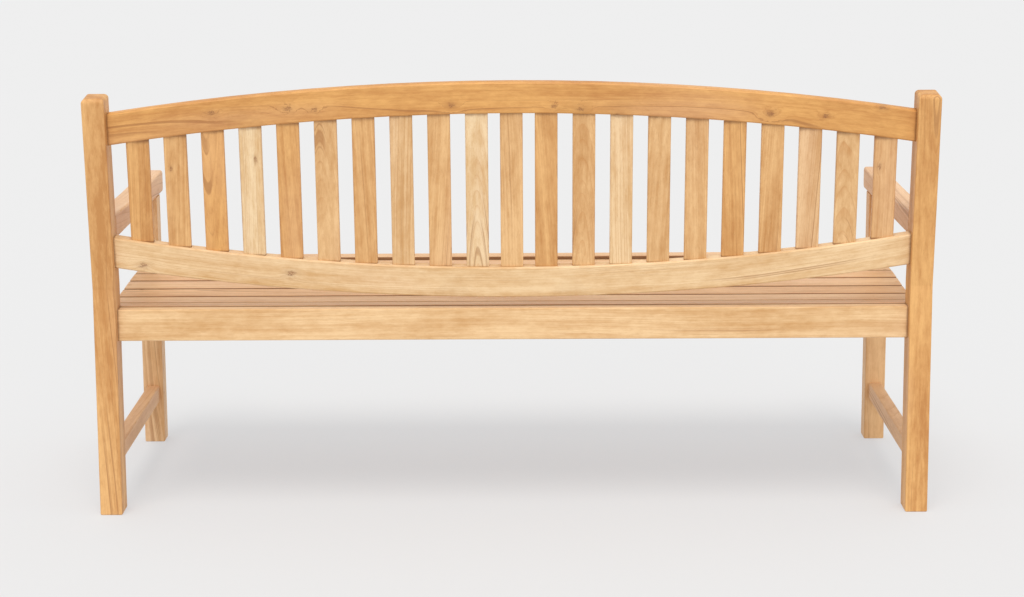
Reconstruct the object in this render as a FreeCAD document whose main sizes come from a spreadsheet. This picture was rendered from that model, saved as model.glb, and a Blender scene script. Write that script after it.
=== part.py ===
# Slatted garden bench for three people, seen from the sitter: the bench faces -Y, the sitter's left is +X
# and +Z is up.  The origin is on the ground, in the middle of the bench's width and depth.
# All lengths are in millimetres and all angles in degrees.
import FreeCAD, Part
import os

import Sketcher

doc = FreeCAD.newDocument("GardenBench")

# ---------------------------------------------------------------------------
# Driving dimensions, numbers of slats, and tolerances for picking edges
# ---------------------------------------------------------------------------
SIZES = [
    ("overall_width", 1800, "outer faces of the legs"),
    ("leg_thickness", 48, "legs and armrests, across the bench"),
    ("front_leg_depth", 48, "front legs, front to back"),
    ("post_depth", 60, "rear posts, front to back"),
    ("rear_face_y", 306.6, "rear face of the posts at the bend"),
    ("leg_gap", 560, "rear face of a post to rear face of a front leg"),
    ("bend_height", 500, "where the rear posts bend back"),
    ("back_rake", 6.28, "lean of the back from upright"),
    ("foot_splay", 1.15, "lean of the rear feet, outwards to the rear"),
    ("post_rise", 419, "bend to post top, along the post"),
    ("post_crown", 10, "rounding round the post tops"),
    ("leg_edge", 3, "rounding of leg corners"),
    ("foot_bevel", 2, "bevel round the soles"),
    ("top_rail_thickness", 24, "front to back"),
    ("low_rail_thickness", 28, "front to back"),
    ("back_rail_height", 67, "both curved rails of the back"),
    ("top_rail_crest", 450.4, "middle of the top rail's upper edge, up the back from the bend"),
    ("top_rail_radius", 5600, "arch of the top rail's upper edge"),
    ("low_rail_crest", 44.1, "middle of the lower rail's upper edge, up the back from the bend"),
    ("low_rail_radius", 5170, "sag of the lower rail's upper edge"),
    ("rail_edge", 3, "bevel along the curved rails"),
    ("back_slat_width", 48, "across the bench"),
    ("back_slat_thickness", 15, "front to back"),
    ("back_slat_edge", 3, "rounding of the back slats"),
    ("back_slat_housing", 14, "depth a back slat enters each rail"),
    ("centre_slat_pitch", 73.5, "middle back slat to its neighbours"),
    ("back_slat_pitch", 79.7, "between the other back slats"),
    ("seat_rail_thickness", 28, "front to back"),
    ("seat_rail_underside", 383, "above the ground"),
    ("rear_seat_rail_top", 452.2, "above the ground"),
    ("seat_rail_edge", 3, "rounding of the straight rails"),
    ("seat_slat_width", 66.3, "front to back, all but the front seat slat"),
    ("front_slat_width", 42, "front seat slat, front to back"),
    ("seat_slat_gap", 7.3, "between seat slats"),
    ("seat_slat_thickness", 20, "up and down"),
    ("rear_slat_gap", 2.5, "rear seat rail to the rear seat slat"),
    ("seat_slat_edge", 2.5, "rounding of the seat slats"),
    ("seat_slat_reach", 882, "middle of the bench to the end of a seat slat"),
    ("seat_low_top", 443.6, "top of the seat at the lowest part of its dish"),
    ("seat_low_behind", 190, "lowest part of the dish, forward of the rear face"),
    ("seat_rear_rise", 11, "climb of the dish to the rear rail"),
    ("seat_rear_run", 146, "length of that climb"),
    ("seat_front_rise", 6.4, "climb of the dish to the front"),
    ("seat_front_run", 230, "length of that climb"),
    ("front_slat_top", 456.8, "top of the front seat slat"),
    ("post_clearance", 1.5, "seat slat to leg"),
    ("arm_underside", 604, "above the ground"),
    ("arm_thickness", 47, "at the lowest part of the armrest's top"),
    ("arm_dish", 6.5, "depth of the hollow along the armrest's top"),
    ("arm_nose_y", -351.4, "front of the armrests"),
    ("arm_nose_round", 12, "rounding of the nose"),
    ("arm_edge", 5, "rounding of the armrest's long edges"),
    ("side_rail_thickness", 28, "side seat rails, across the bench"),
    ("stretcher_thickness", 30, "across the bench"),
    ("stretcher_height", 38, "up and down"),
    ("stretcher_underside", 102, "above the ground"),
    ("bearer_thickness", 28, "middle bearer of the seat, across the bench"),
    ("bearer_tenon", 12, "length of the bearer's tenons"),
    ("tenon_thickness", 12, "all tenons"),
    ("tenon_shoulder", 9, "rail edge to tenon edge"),
    ("tenon_root", 1, "length of a tenon inside its own piece"),
    ("arm_tenon_root", 5, "the same, at the slanting rear end of an armrest"),
    ("rail_tenon", 30, "length of the tenons of the long rails"),
    ("side_tenon", 16, "length of the tenons that run front to back"),
    ("leg_tenon", 30, "length of the front legs' tenons in the armrests"),
    ("peg_diameter", 8, "pegs through the tenons"),
    ("peg_reach", 38, "depth of the pegs"),
    ("screw_shank", 4.5, "seat screws, outside the thread"),
    ("screw_head", 8.5, "seat screws, across the head"),
    ("screw_head_height", 2.8, "seat screws"),
    ("front_screw_x", 780, "middle of the bench to the outer screws of the front seat slat"),
    ("screw_length", 40, "seat screws, under the head"),
    ("plug_diameter", 10, "wooden plugs over the screws"),
    ("plug_depth", 7, "wooden plugs over the screws"),
]
BACK_SLATS = 21
SEAT_SLATS = 8
CLOSE = 1
TOUCHING = 0.01
PARALLEL = 0.02

sheet = doc.addObject("Spreadsheet::Sheet", "Sizes")
for row, (alias, value, note) in enumerate(SIZES, start=1):
    sheet.set(f"A{row}", str(value))
    sheet.setAlias(f"A{row}", alias)
    sheet.set(f"B{row}", note)
doc.recompute()


def named(text):
    """Turn {name} in a formula into the sheet's cell of that name."""
    for alias, _, _ in SIZES:
        text = text.replace("{" + alias + "}", "Sizes." + alias)
    return text


def number(formula):
    """Value of a formula of sheet cells."""
    return float(sheet.evalExpression(formula))


# Formulas that several pieces share
INNER_X = named("({overall_width} / 2 - {leg_thickness})")
LEG_X = named("({overall_width} / 2 - {leg_thickness} / 2)")
BACK_Y = named("({rear_face_y} - {post_depth} / 2 / cos({back_rake}))")
FRONT_LEG_REAR_Y = named("({rear_face_y} - {leg_gap})")
FRONT_LEG_Y = named("({rear_face_y} - {leg_gap} - {front_leg_depth} / 2)")
SEAT_RAIL_Y = named("({rear_face_y} - {post_depth} / 2)")
BEND_RATIO = named("({post_depth} / (1 + cos({back_rake} + {foot_splay})))")
POST_BEND_Y = named(f"({{rear_face_y}} - {BEND_RATIO} * (cos({{foot_splay}}) + cos({{back_rake}})))")
POST_BEND_Z = named(f"({{bend_height}} + {BEND_RATIO} * (sin({{back_rake}}) - sin({{foot_splay}})))")


def post_front_low(height):
    """Y of a post's front face below the bend."""
    return named(f"({POST_BEND_Y} + ({POST_BEND_Z} - {height}) * tan({{foot_splay}}))")


def post_front_high(height):
    """Y of a post's front face above the bend."""
    return named(f"({POST_BEND_Y} + ({height} - {POST_BEND_Z}) * tan({{back_rake}}))")


def arch_drop(radius, across):
    """How far an arc of this radius has fallen away from its crest, this far across."""
    return f"({radius} - sqrt(({radius})^2 - ({across})^2))"


def top_rail_upper(across):
    return named("({top_rail_crest} - ") + arch_drop(named("{top_rail_radius}"), across) + ")"


def top_rail_lower(across):
    radius = named("({top_rail_radius} - {back_rail_height})")
    return named("({top_rail_crest} - {back_rail_height} - ") + arch_drop(radius, across) + ")"


def low_rail_upper(across):
    return named("({low_rail_crest} + ") + arch_drop(named("{low_rail_radius}"), across) + ")"


def low_rail_lower(across):
    radius = named("({low_rail_radius} + {back_rail_height})")
    return named("({low_rail_crest} - {back_rail_height} + ") + arch_drop(radius, across) + ")"


# ---------------------------------------------------------------------------
# Sketching and solid helpers
# ---------------------------------------------------------------------------
def body_sketch(label, role):
    """A new body with an empty sketch on one of its origin planes."""
    body = doc.addObject("PartDesign::Body", label)
    sketch = body.newObject("Sketcher::SketchObject", label + "_outline")
    plane = next(item for item in body.Origin.OriginFeatures if item.Role == role)
    sketch.AttachmentSupport = [(plane, "")]
    sketch.MapMode = "FlatFace"
    return body, sketch


def hold(sketch, kind, geometry, end, formula):
    """Place one end of a sketch line by a formula."""
    index = sketch.addConstraint(Sketcher.Constraint(kind, -1, 1, geometry, end, number(formula)))
    sketch.setExpression(f"Constraints[{index}]", formula)


def draw_outline(sketch, corners, arcs=None):
    """Draw a closed outline.  corners are pairs of formulas.  arcs gives, for the side that starts at a
    corner, a radius and the side (+1 or -1) of the straight line that it bulges to."""
    arcs = arcs or {}
    points = [FreeCAD.Vector(number(x), number(y), 0) for x, y in corners]
    starts = []
    ends = []
    for index, start in enumerate(points):
        end = points[(index + 1) % len(points)]
        if index in arcs:
            radius, bulge = arcs[index]
            chord = end - start
            half = chord.Length / 2
            rise = number(arch_drop(radius, str(half)))
            outward = FreeCAD.Vector(chord.y, -chord.x, 0).normalize() * bulge
            middle = (start + end) / 2 + outward * rise
            geometry = sketch.addGeometry(Part.Arc(start, middle, end), False)
            constraint = sketch.addConstraint(Sketcher.Constraint("Radius", geometry, number(radius)))
            sketch.setExpression(f"Constraints[{constraint}]", radius)
        else:
            geometry = sketch.addGeometry(Part.LineSegment(start, end), False)
        first = 1 if sketch.getPoint(geometry, 1).distanceToPoint(start) < TOUCHING else 2
        starts.append((geometry, first))
        ends.append((geometry, 3 - first))
    for index, (x, y) in enumerate(corners):
        geometry, end = ends[index - 1]
        sketch.addConstraint(Sketcher.Constraint("Coincident", geometry, end, *starts[index]))
        hold(sketch, "DistanceX", *starts[index], x)
        hold(sketch, "DistanceY", *starts[index], y)


def pad(body, sketch, length, symmetric=True):
    """Extrude the sketch, both ways from its plane or along the plane's normal."""
    feature = body.newObject("PartDesign::Pad", body.Label + "_pad")
    feature.Profile = sketch
    feature.SideType = "Symmetric" if symmetric else "One side"
    feature.setExpression("Length", length)
    doc.recompute()
    return feature


def edge_names(shape, wanted):
    """Names of the edges for which wanted(edge) is true."""
    return [f"Edge{index}" for index, edge in enumerate(shape.Edges, start=1) if wanted(edge)]


def along(edge, axis):
    """True for a straight edge that runs along this axis."""
    span = edge.Vertexes[-1].Point - edge.Vertexes[0].Point
    return span.Length > 0 and abs(abs(span.normalize().dot(axis)) - 1) < PARALLEL


def dress(body, kind, wanted, formula):
    """Round (Fillet) or bevel (Chamfer) the edges of the body's tip that wanted picks."""
    base = body.Tip
    feature = body.newObject("PartDesign::" + kind, body.Label + "_" + kind.lower())
    feature.Base = (base, edge_names(base.Shape, wanted))
    feature.setExpression("Radius" if kind == "Fillet" else "Size", formula)
    doc.recompute()
    return feature


def place(piece, x, y, z, lean=False):
    """Set a piece's position, and lean it back with the posts if asked."""
    if lean:
        piece.Placement = FreeCAD.Placement(FreeCAD.Vector(), FreeCAD.Rotation(X_AXIS, -1))
        piece.setExpression("Placement.Rotation.Angle", named("-{back_rake}"))
    piece.setExpression("Placement.Base.x", x)
    piece.setExpression("Placement.Base.y", y)
    piece.setExpression("Placement.Base.z", z)


def place_in_back(piece, across, behind, upward):
    """Place a piece in the leaning plane of the back: across the bench, behind the plane through the
    middle of the posts, and up the back from the bend."""
    y = named(f"{BACK_Y} + ({behind}) * cos({{back_rake}}) + ({upward}) * sin({{back_rake}})")
    z = named(f"{{bend_height}} - ({behind}) * sin({{back_rake}}) + ({upward}) * cos({{back_rake}})")
    place(piece, across, y, z, lean=True)


def block(label, length, depth, height):
    """A plain box for a tenon and the mortise that takes it."""
    box = doc.addObject("Part::Box", label)
    box.setExpression("Length", length)
    box.setExpression("Width", depth)
    box.setExpression("Height", height)
    return box


def group(label, pieces):
    compound = doc.addObject("Part::Compound", label)
    compound.Links = pieces
    return compound


def finish_piece(label, blank, tenons=(), cuts=()):
    """Add tenons to a blank and take away each group of cutting solids, one group after another."""
    result = blank
    if tenons:
        fused = doc.addObject("Part::MultiFuse", label if not cuts else label + "_tenoned")
        fused.Shapes = [blank, *tenons]
        result = fused
    for index, tool in enumerate(cuts, start=1):
        if isinstance(tool, list):
            tool = group(f"{label}_tools_{index}", tool)
        cut = doc.addObject("Part::Cut", label if index == len(cuts) else f"{label}_cut_{index}")
        cut.Base = result
        cut.Tool = tool
        result = cut
    doc.recompute()
    NODES.append(result)
    return result


X_AXIS = FreeCAD.Vector(1, 0, 0)
Y_AXIS = FreeCAD.Vector(0, 1, 0)
Z_AXIS = FreeCAD.Vector(0, 0, 1)
SIDES = (("left", 1), ("right", -1))
NODES = []


def signed(sign, formula):
    return formula if sign > 0 else f"-({formula})"


def from_side(sign, near, length):
    """X of the low corner of a box that reaches outwards from near, on this side of the bench."""
    return near if sign > 0 else f"-({near} + {length})"


# ---------------------------------------------------------------------------
# Blanks: the wood before joints are cut
# ---------------------------------------------------------------------------
def post_blank(side, sign):
    """Rear post: upright below the seat, bent back above it, with a rounded top."""
    body, sketch = body_sketch(f"rear_post_{side}_blank", "YZ_Plane")
    top_y = named("({rear_face_y} + {post_rise} * sin({back_rake}))")
    top_z = named("({bend_height} + {post_rise} * cos({back_rake}))")
    front_top_y = named(f"{top_y} - {{post_depth}} * cos({{back_rake}})")
    front_top_z = named(f"{top_z} + {{post_depth}} * sin({{back_rake}})")
    corners = [
        (named("{rear_face_y} + {bend_height} * tan({foot_splay})"), "0"),
        (post_front_low("0"), "0"),
        (POST_BEND_Y, POST_BEND_Z),
        (front_top_y, front_top_z),
        (top_y, top_z),
        (named("{rear_face_y}"), named("{bend_height}")),
    ]
    draw_outline(sketch, corners)
    pad(body, sketch, named("{leg_thickness}"))
    below_top = number(top_z) - CLOSE
    dress(body, "Fillet", lambda edge: edge.BoundBox.ZMin > below_top, named("{post_crown}"))
    dress(body, "Fillet", is_post_corner, named("{leg_edge}"))
    dress(body, "Chamfer", lambda edge: edge.BoundBox.ZMax < TOUCHING, named("{foot_bevel}"))
    place(body, signed(sign, LEG_X), "0", "0")
    return body


def is_post_corner(edge):
    """True for the long corner edges of a post."""
    return edge.BoundBox.ZLength > number(named("{post_depth}"))


def leg_blank(side, sign):
    """Front leg: a square upright."""
    body, sketch = body_sketch(f"front_leg_{side}_blank", "XY_Plane")
    half_x = named("({leg_thickness} / 2)")
    half_y = named("({front_leg_depth} / 2)")
    draw_outline(sketch, rectangle(half_x, half_y))
    pad(body, sketch, named("{arm_underside}"), symmetric=False)
    dress(body, "Fillet", lambda edge: along(edge, Z_AXIS), named("{leg_edge}"))
    dress(body, "Chamfer", lambda edge: edge.BoundBox.ZMax < TOUCHING, named("{foot_bevel}"))
    place(body, signed(sign, LEG_X), FRONT_LEG_Y, "0")
    return body


def rectangle(half_width, half_height):
    """Corner formulas of a rectangle centred on the origin."""
    return [
        (f"-{half_width}", f"-{half_height}"),
        (half_width, f"-{half_height}"),
        (half_width, half_height),
        (f"-{half_width}", half_height),
    ]


def curved_rail_blank(label, upper, lower, upper_radius, lower_radius, bulge, thickness):
    """A rail of the back, cut from a plank to two arcs, with bevelled edges."""
    body, sketch = body_sketch(label, "XZ_Plane")
    corners = [
        (f"-{INNER_X}", lower(INNER_X)),
        (INNER_X, lower(INNER_X)),
        (INNER_X, upper(INNER_X)),
        (f"-{INNER_X}", upper(INNER_X)),
    ]
    draw_outline(sketch, corners, {0: (lower_radius, bulge), 2: (upper_radius, -bulge)})
    pad(body, sketch, thickness)
    dress(body, "Chamfer", lambda edge: edge.Length > number(INNER_X), named("{rail_edge}"))
    place_in_back(body, "0", "0", "0")
    return body


def bar_blank(label, length, depth, height, edge_round):
    """A straight bar along X, centred on its own origin, with rounded long edges."""
    body, sketch = body_sketch(label, "YZ_Plane")
    draw_outline(sketch, rectangle(f"({depth} / 2)", f"({height} / 2)"))
    pad(body, sketch, length)
    dress(body, "Fillet", lambda edge: along(edge, X_AXIS), edge_round)
    return body


def side_blank(label, corners, thickness, edge_round, sign, wanted, arcs=None):
    """A piece that runs front to back, drawn from the side."""
    body, sketch = body_sketch(label, "YZ_Plane")
    draw_outline(sketch, corners, arcs)
    pad(body, sketch, thickness)
    dress(body, "Fillet", wanted, edge_round)
    place(body, signed(sign, LEG_X), "0", "0")
    return body


# ---------------------------------------------------------------------------
# Seat levels
# ---------------------------------------------------------------------------
def seat_slat_near(index):
    """Distance of a seat slat's rear edge forward of the posts' rear face."""
    first = named("({post_depth} / 2 + {seat_rail_thickness} / 2 + {rear_slat_gap})")
    return named(f"({first} + {index} * ({{seat_slat_width}} + {{seat_slat_gap}}))")


def is_front_slat(index):
    return index == SEAT_SLATS - 1


def seat_slat_half(index):
    """Half the width of a seat slat."""
    width = "{front_slat_width}" if is_front_slat(index) else "{seat_slat_width}"
    return named("(" + width + " / 2)")


def seat_slat_middle(index):
    return f"({seat_slat_near(index)} + {seat_slat_half(index)})"


def seat_slat_top(index):
    """Height of the middle of a seat slat's top, on the dished seat."""
    middle = seat_slat_middle(index)
    if is_front_slat(index):
        return named("{front_slat_top}")
    if number(middle) < number(named("{seat_low_behind}")):
        share = named(f"(({{seat_low_behind}} - {middle}) / {{seat_rear_run}})")
        return named(f"({{seat_low_top}} + {{seat_rear_rise}} * {share}^2)")
    share = named(f"min(1; ({middle} - {{seat_low_behind}}) / {{seat_front_run}})")
    return named(f"({{seat_low_top}} + {{seat_front_rise}} * ({share})^2 * (3 - 2 * {share}))")


def seat_slat_tilt(index):
    """Tilt of a seat slat that follows the dish, positive where its rear edge is the higher."""
    middle = seat_slat_middle(index)
    if is_front_slat(index):
        return "0"
    if number(middle) < number(named("{seat_low_behind}")):
        share = named(f"(({{seat_low_behind}} - {middle}) / {{seat_rear_run}})")
        return named(f"atan(2 * {{seat_rear_rise}} * {share} / {{seat_rear_run}})")
    share = named(f"min(1; ({middle} - {{seat_low_behind}}) / {{seat_front_run}})")
    return named(f"-atan(6 * {{seat_front_rise}} * {share} * (1 - {share}) / {{seat_front_run}})")


def slat_underside(index, offset):
    """Y and Z on the underside of a seat slat, this far forward of its middle."""
    tilt = seat_slat_tilt(index)
    forward = f"({offset} * cos({tilt}) - {named('{seat_slat_thickness}')} * sin({tilt}))"
    y = named(f"{{rear_face_y}} - {seat_slat_middle(index)} - {forward}")
    z = f"{seat_slat_top(index)} - {offset} * sin({tilt}) - {named('{seat_slat_thickness}')} * cos({tilt})"
    return y, z


def seat_support(first, last):
    """Outline points of the edge that carries the seat slats, from the rear to the front."""
    points = []
    for index in range(first, last + 1):
        half = seat_slat_half(index)
        points.append(slat_underside(index, f"-{half}"))
        points.append(slat_underside(index, half))
    return points


# ---------------------------------------------------------------------------
# Tenons: each box is the tenon of one piece and the mortise of another
# ---------------------------------------------------------------------------
TENON = named("{tenon_thickness}")
ROOT = named("{tenon_root}")
SHOULDER = named("{tenon_shoulder}")
REAR_RAIL_TOP = named("{rear_seat_rail_top}")
FRONT_RAIL_TOP = named("({front_slat_top} - {seat_slat_thickness})")


def back_rail_tenon(label, sign, lower, upper):
    """Tenon at the end of a curved back rail, reaching into a post."""
    low = f"({lower(INNER_X)} + {SHOULDER})"
    tall = f"({upper(INNER_X)} - {lower(INNER_X)} - 2 * {SHOULDER})"
    tenon = block(label, named("{rail_tenon}"), TENON, tall)
    place_in_back(tenon, from_side(sign, INNER_X, named("{rail_tenon}")), f"-{TENON} / 2", low)
    return tenon


def straight_rail_tenon(label, sign, middle_y, top):
    """Tenon at the end of a straight seat rail, reaching into a leg."""
    low = named("({seat_rail_underside} + {tenon_shoulder})")
    tenon = block(label, named("{rail_tenon}"), TENON, f"({top} - {low} - {SHOULDER})")
    place(tenon, from_side(sign, INNER_X, named("{rail_tenon}")), f"{middle_y} - {TENON} / 2", low)
    return tenon


def side_tenon(label, sign, low_y, low, tall, root="{tenon_root}"):
    """Tenon that runs front to back in the middle of a leg, with its root inside its own piece."""
    tenon = block(label, TENON, named("({side_tenon} + " + root + ")"), tall)
    place(tenon, f"{signed(sign, LEG_X)} - {TENON} / 2", low_y, low)
    return tenon


def leg_top_tenon(label, sign):
    """Tenon on top of a front leg, reaching up into the armrest."""
    depth = named("({front_leg_depth} - 2 * {tenon_shoulder})")
    low = named("{arm_underside} - {tenon_root}")
    tenon = block(label, TENON, depth, named("({leg_tenon} + {tenon_root})"))
    place(tenon, f"{signed(sign, LEG_X)} - {TENON} / 2", f"{FRONT_LEG_Y} - {depth} / 2", low)
    return tenon


def bearer_tenon(label, low_y):
    """Tenon at an end of the middle bearer, reaching into a long seat rail."""
    low = named("({seat_rail_underside} + {tenon_shoulder})")
    tall = named(f"({FRONT_RAIL_TOP} - {{seat_rail_underside}} - 3 * {{tenon_shoulder}})")
    tenon = block(label, TENON, named("({bearer_tenon} + {tenon_root})"), tall)
    place(tenon, f"-{TENON} / 2", low_y, low)
    return tenon


SIDE_TENON_LOW = named("({seat_rail_underside} + {tenon_shoulder})")
SIDE_RAIL_REAR_TOP = named("({rear_seat_rail_top} - {seat_slat_thickness})")
SIDE_TENON_TALL = f"({SIDE_RAIL_REAR_TOP} - {SIDE_TENON_LOW} - {SHOULDER})"
STRETCHER_TENON_LOW = named("({stretcher_underside} + {tenon_shoulder})")
STRETCHER_TENON_TALL = named("({stretcher_height} - 2 * {tenon_shoulder})")
ARM_TENON_LOW = named("({arm_underside} + {tenon_shoulder})")
ARM_TENON_TALL = named("({arm_thickness} - 2 * {tenon_shoulder})")
INTO_LEG = named(f"({FRONT_LEG_REAR_Y} - {{side_tenon}})")

tenons = {}
for side, sign in SIDES:
    tenons[side] = {
        "top_rail": back_rail_tenon(f"top_rail_tenon_{side}", sign, top_rail_lower, top_rail_upper),
        "low_rail": back_rail_tenon(f"low_rail_tenon_{side}", sign, low_rail_lower, low_rail_upper),
        "rear_rail": straight_rail_tenon(f"rear_rail_tenon_{side}", sign, SEAT_RAIL_Y, REAR_RAIL_TOP),
        "front_rail": straight_rail_tenon(f"front_rail_tenon_{side}", sign, FRONT_LEG_Y, FRONT_RAIL_TOP),
        "side_rail_rear": side_tenon(
            f"side_rail_tenon_rear_{side}", sign,
            f"{post_front_low(SIDE_TENON_LOW)} - {ROOT}", SIDE_TENON_LOW, SIDE_TENON_TALL,
        ),
        "side_rail_front": side_tenon(
            f"side_rail_tenon_front_{side}", sign, INTO_LEG, SIDE_TENON_LOW, SIDE_TENON_TALL,
        ),
        "stretcher_rear": side_tenon(
            f"stretcher_tenon_rear_{side}", sign,
            f"{post_front_low(STRETCHER_TENON_LOW)} - {ROOT}", STRETCHER_TENON_LOW, STRETCHER_TENON_TALL,
        ),
        "stretcher_front": side_tenon(
            f"stretcher_tenon_front_{side}", sign, INTO_LEG, STRETCHER_TENON_LOW, STRETCHER_TENON_TALL,
        ),
        "arm_rear": side_tenon(
            f"arm_tenon_rear_{side}", sign,
            f"{post_front_high(ARM_TENON_LOW)} - {ROOT}", ARM_TENON_LOW, ARM_TENON_TALL, "{arm_tenon_root}",
        ),
        "leg_top": leg_top_tenon(f"leg_top_tenon_{side}", sign),
    }
BEARER_REAR_Y = named(f"({SEAT_RAIL_Y} - {{seat_rail_thickness}} / 2)")
BEARER_FRONT_Y = named(f"({FRONT_LEG_Y} + {{seat_rail_thickness}} / 2)")
bearer_tenon_rear = bearer_tenon("bearer_tenon_rear", f"{BEARER_REAR_Y} - {ROOT}")
bearer_tenon_front = bearer_tenon("bearer_tenon_front", named(f"{BEARER_FRONT_Y} - {{bearer_tenon}}"))
doc.recompute()

# ---------------------------------------------------------------------------
# Fasteners: pegs through the tenons, and screws under plugs in the seat slats
# ---------------------------------------------------------------------------
peg_pattern = doc.addObject("Part::Cylinder", "peg_pattern")
peg_pattern.setExpression("Radius", named("{peg_diameter} / 2"))
peg_pattern.setExpression("Height", named("{peg_reach}"))

plug_pattern = doc.addObject("Part::Cylinder", "plug_pattern")
plug_pattern.setExpression("Radius", named("{plug_diameter} / 2"))
plug_pattern.setExpression("Height", named("{plug_depth}"))
plug_pattern.setExpression("Placement.Base.z", named("-{plug_depth}"))


def screw_pattern():
    """Countersunk screw, pointing down, with its head just under the plug."""
    body, sketch = body_sketch("screw_pattern", "XZ_Plane")
    head = named("-{plug_depth}")
    neck = named("(-{plug_depth} - {screw_head_height})")
    shank = named("{screw_shank} / 2")
    tip = named("(-{plug_depth} - {screw_length})")
    taper = named("(-{plug_depth} - {screw_length} + {screw_shank})")
    draw_outline(sketch, [
        ("0", tip), (shank, taper), (shank, neck), (named("{screw_head} / 2"), head), ("0", head),
    ])
    turned = body.newObject("PartDesign::Revolution", "screw_turned")
    turned.Profile = sketch
    turned.ReferenceAxis = (sketch, ["V_Axis"])
    turned.Angle = 360
    doc.recompute()
    return body


def copies(label, pattern, placements):
    """One group of separate, identical solids."""
    piece = doc.addObject("Part::Feature", label)
    shapes = []
    for placement in placements:
        shape = pattern.Shape.copy()
        shape.Placement = placement.multiply(pattern.Placement)
        shapes.append(shape)
    piece.Shape = Part.makeCompound(shapes)
    piece.Placement = FreeCAD.Placement()
    NODES.append(piece)
    return piece


def peg_placements():
    """Pegs start at a face of a leg and cross the tenon inside it."""
    half_tenon = number(named("{rail_tenon} / 2"))
    lean = FreeCAD.Rotation(X_AXIS, -number(named("{back_rake}")))
    backwards = FreeCAD.Rotation(Z_AXIS, Y_AXIS)
    middle = FreeCAD.Vector(0, number(BACK_Y), number(named("{bend_height}")))
    half_post = number(named("{post_depth} / 2"))
    inner = number(INNER_X)
    result = []
    for _, sign in SIDES:
        for lower, upper in ((top_rail_lower, top_rail_upper), (low_rail_lower, low_rail_upper)):
            upward = (number(lower(INNER_X)) + number(upper(INNER_X))) / 2
            local = FreeCAD.Vector(sign * (inner + half_tenon), -half_post, upward)
            result.append(FreeCAD.Placement(middle + lean.multVec(local), lean.multiply(backwards)))
        outwards = FreeCAD.Rotation(Z_AXIS, X_AXIS * sign)
        half_side = number(named("{side_tenon} / 2"))
        low = number(SIDE_TENON_LOW) + number(SIDE_TENON_TALL) / 2
        foot = number(STRETCHER_TENON_LOW) + number(STRETCHER_TENON_TALL) / 2
        arm = number(ARM_TENON_LOW) + number(ARM_TENON_TALL) / 2
        in_leg = number(FRONT_LEG_REAR_Y) - half_side
        leg_top = number(named("{arm_underside} + {leg_tenon} / 2"))
        places = [
            (number(post_front_low(str(low))) + half_side, low),
            (number(post_front_low(str(foot))) + half_side, foot),
            (number(post_front_high(str(arm))) + half_side, arm),
            (in_leg, low),
            (in_leg, foot),
            (number(FRONT_LEG_Y), leg_top),
        ]
        for y, z in places:
            result.append(FreeCAD.Placement(FreeCAD.Vector(sign * inner, y, z), outwards))
    return result


def screw_placements():
    """Screws stand square to each seat slat, over the side rails, the middle bearer and the front rail."""
    result = []
    for index in range(SEAT_SLATS):
        y = number(named(f"{{rear_face_y}} - {seat_slat_middle(index)}"))
        outer = number(LEG_X)
        if is_front_slat(index):
            y = number(FRONT_LEG_Y)
            outer = number(named("{front_screw_x}"))
        tilt = FreeCAD.Rotation(X_AXIS, number(seat_slat_tilt(index)))
        for x in (-outer, 0, outer):
            result.append(FreeCAD.Placement(FreeCAD.Vector(x, y, number(seat_slat_top(index))), tilt))
    return result


doc.recompute()
tenon_pegs = copies("tenon_pegs", peg_pattern, peg_placements())
seat_screws = copies("seat_screws", screw_pattern(), screw_placements())
seat_plugs = copies("seat_plugs", plug_pattern, screw_placements())

# ---------------------------------------------------------------------------
# Back slats
# ---------------------------------------------------------------------------
back_slats = []
for number_in_row in range(1, BACK_SLATS + 1):
    steps = number_in_row - (BACK_SLATS + 1) // 2
    across = "0"
    if steps:
        across = named(f"({{centre_slat_pitch}} + {abs(steps) - 1} * {{back_slat_pitch}})")
    low = named(f"({low_rail_upper(across)} - {{back_slat_housing}})")
    high = named(f"({top_rail_lower(across)} + {{back_slat_housing}})")
    slat, sketch = body_sketch(f"back_slat_{number_in_row:02d}", "XY_Plane")
    draw_outline(sketch, rectangle(named("({back_slat_width} / 2)"), named("({back_slat_thickness} / 2)")))
    pad(slat, sketch, f"{high} - {low}", symmetric=False)
    dress(slat, "Fillet", lambda edge: along(edge, Z_AXIS), named("{back_slat_edge}"))
    place_in_back(slat, across if steps >= 0 else f"-{across}", "0", low)
    back_slats.append(slat)
NODES.extend(back_slats)
all_back_slats = group("all_back_slats", back_slats)

# ---------------------------------------------------------------------------
# Rails of the back
# ---------------------------------------------------------------------------
top_blank = curved_rail_blank(
    "top_rail_blank", top_rail_upper, top_rail_lower, named("{top_rail_radius}"),
    named("({top_rail_radius} - {back_rail_height})"), -1, named("{top_rail_thickness}"),
)
low_blank = curved_rail_blank(
    "lower_back_rail_blank", low_rail_upper, low_rail_lower, named("{low_rail_radius}"),
    named("({low_rail_radius} + {back_rail_height})"), 1, named("{low_rail_thickness}"),
)
for label, blank, key in (("top_rail", top_blank, "top_rail"), ("lower_back_rail", low_blank, "low_rail")):
    rail_tenons = [tenons[side][key] for side, _ in SIDES]
    finish_piece(label, blank, rail_tenons, [all_back_slats, tenon_pegs])

# ---------------------------------------------------------------------------
# Seat: long rails, side rails, middle bearer and slats
# ---------------------------------------------------------------------------
def straight_rail(label, middle_y, top, key, cuts):
    """Rear or front rail of the seat, tenoned into the legs."""
    height = named(f"({top} - {{seat_rail_underside}})")
    thickness = named("{seat_rail_thickness}")
    blank = bar_blank(label + "_blank", f"2 * {INNER_X}", thickness, height, named("{seat_rail_edge}"))
    place(blank, "0", middle_y, named(f"{{seat_rail_underside}} + {height} / 2"))
    finish_piece(label, blank, [tenons[side][key] for side, _ in SIDES], cuts)


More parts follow.
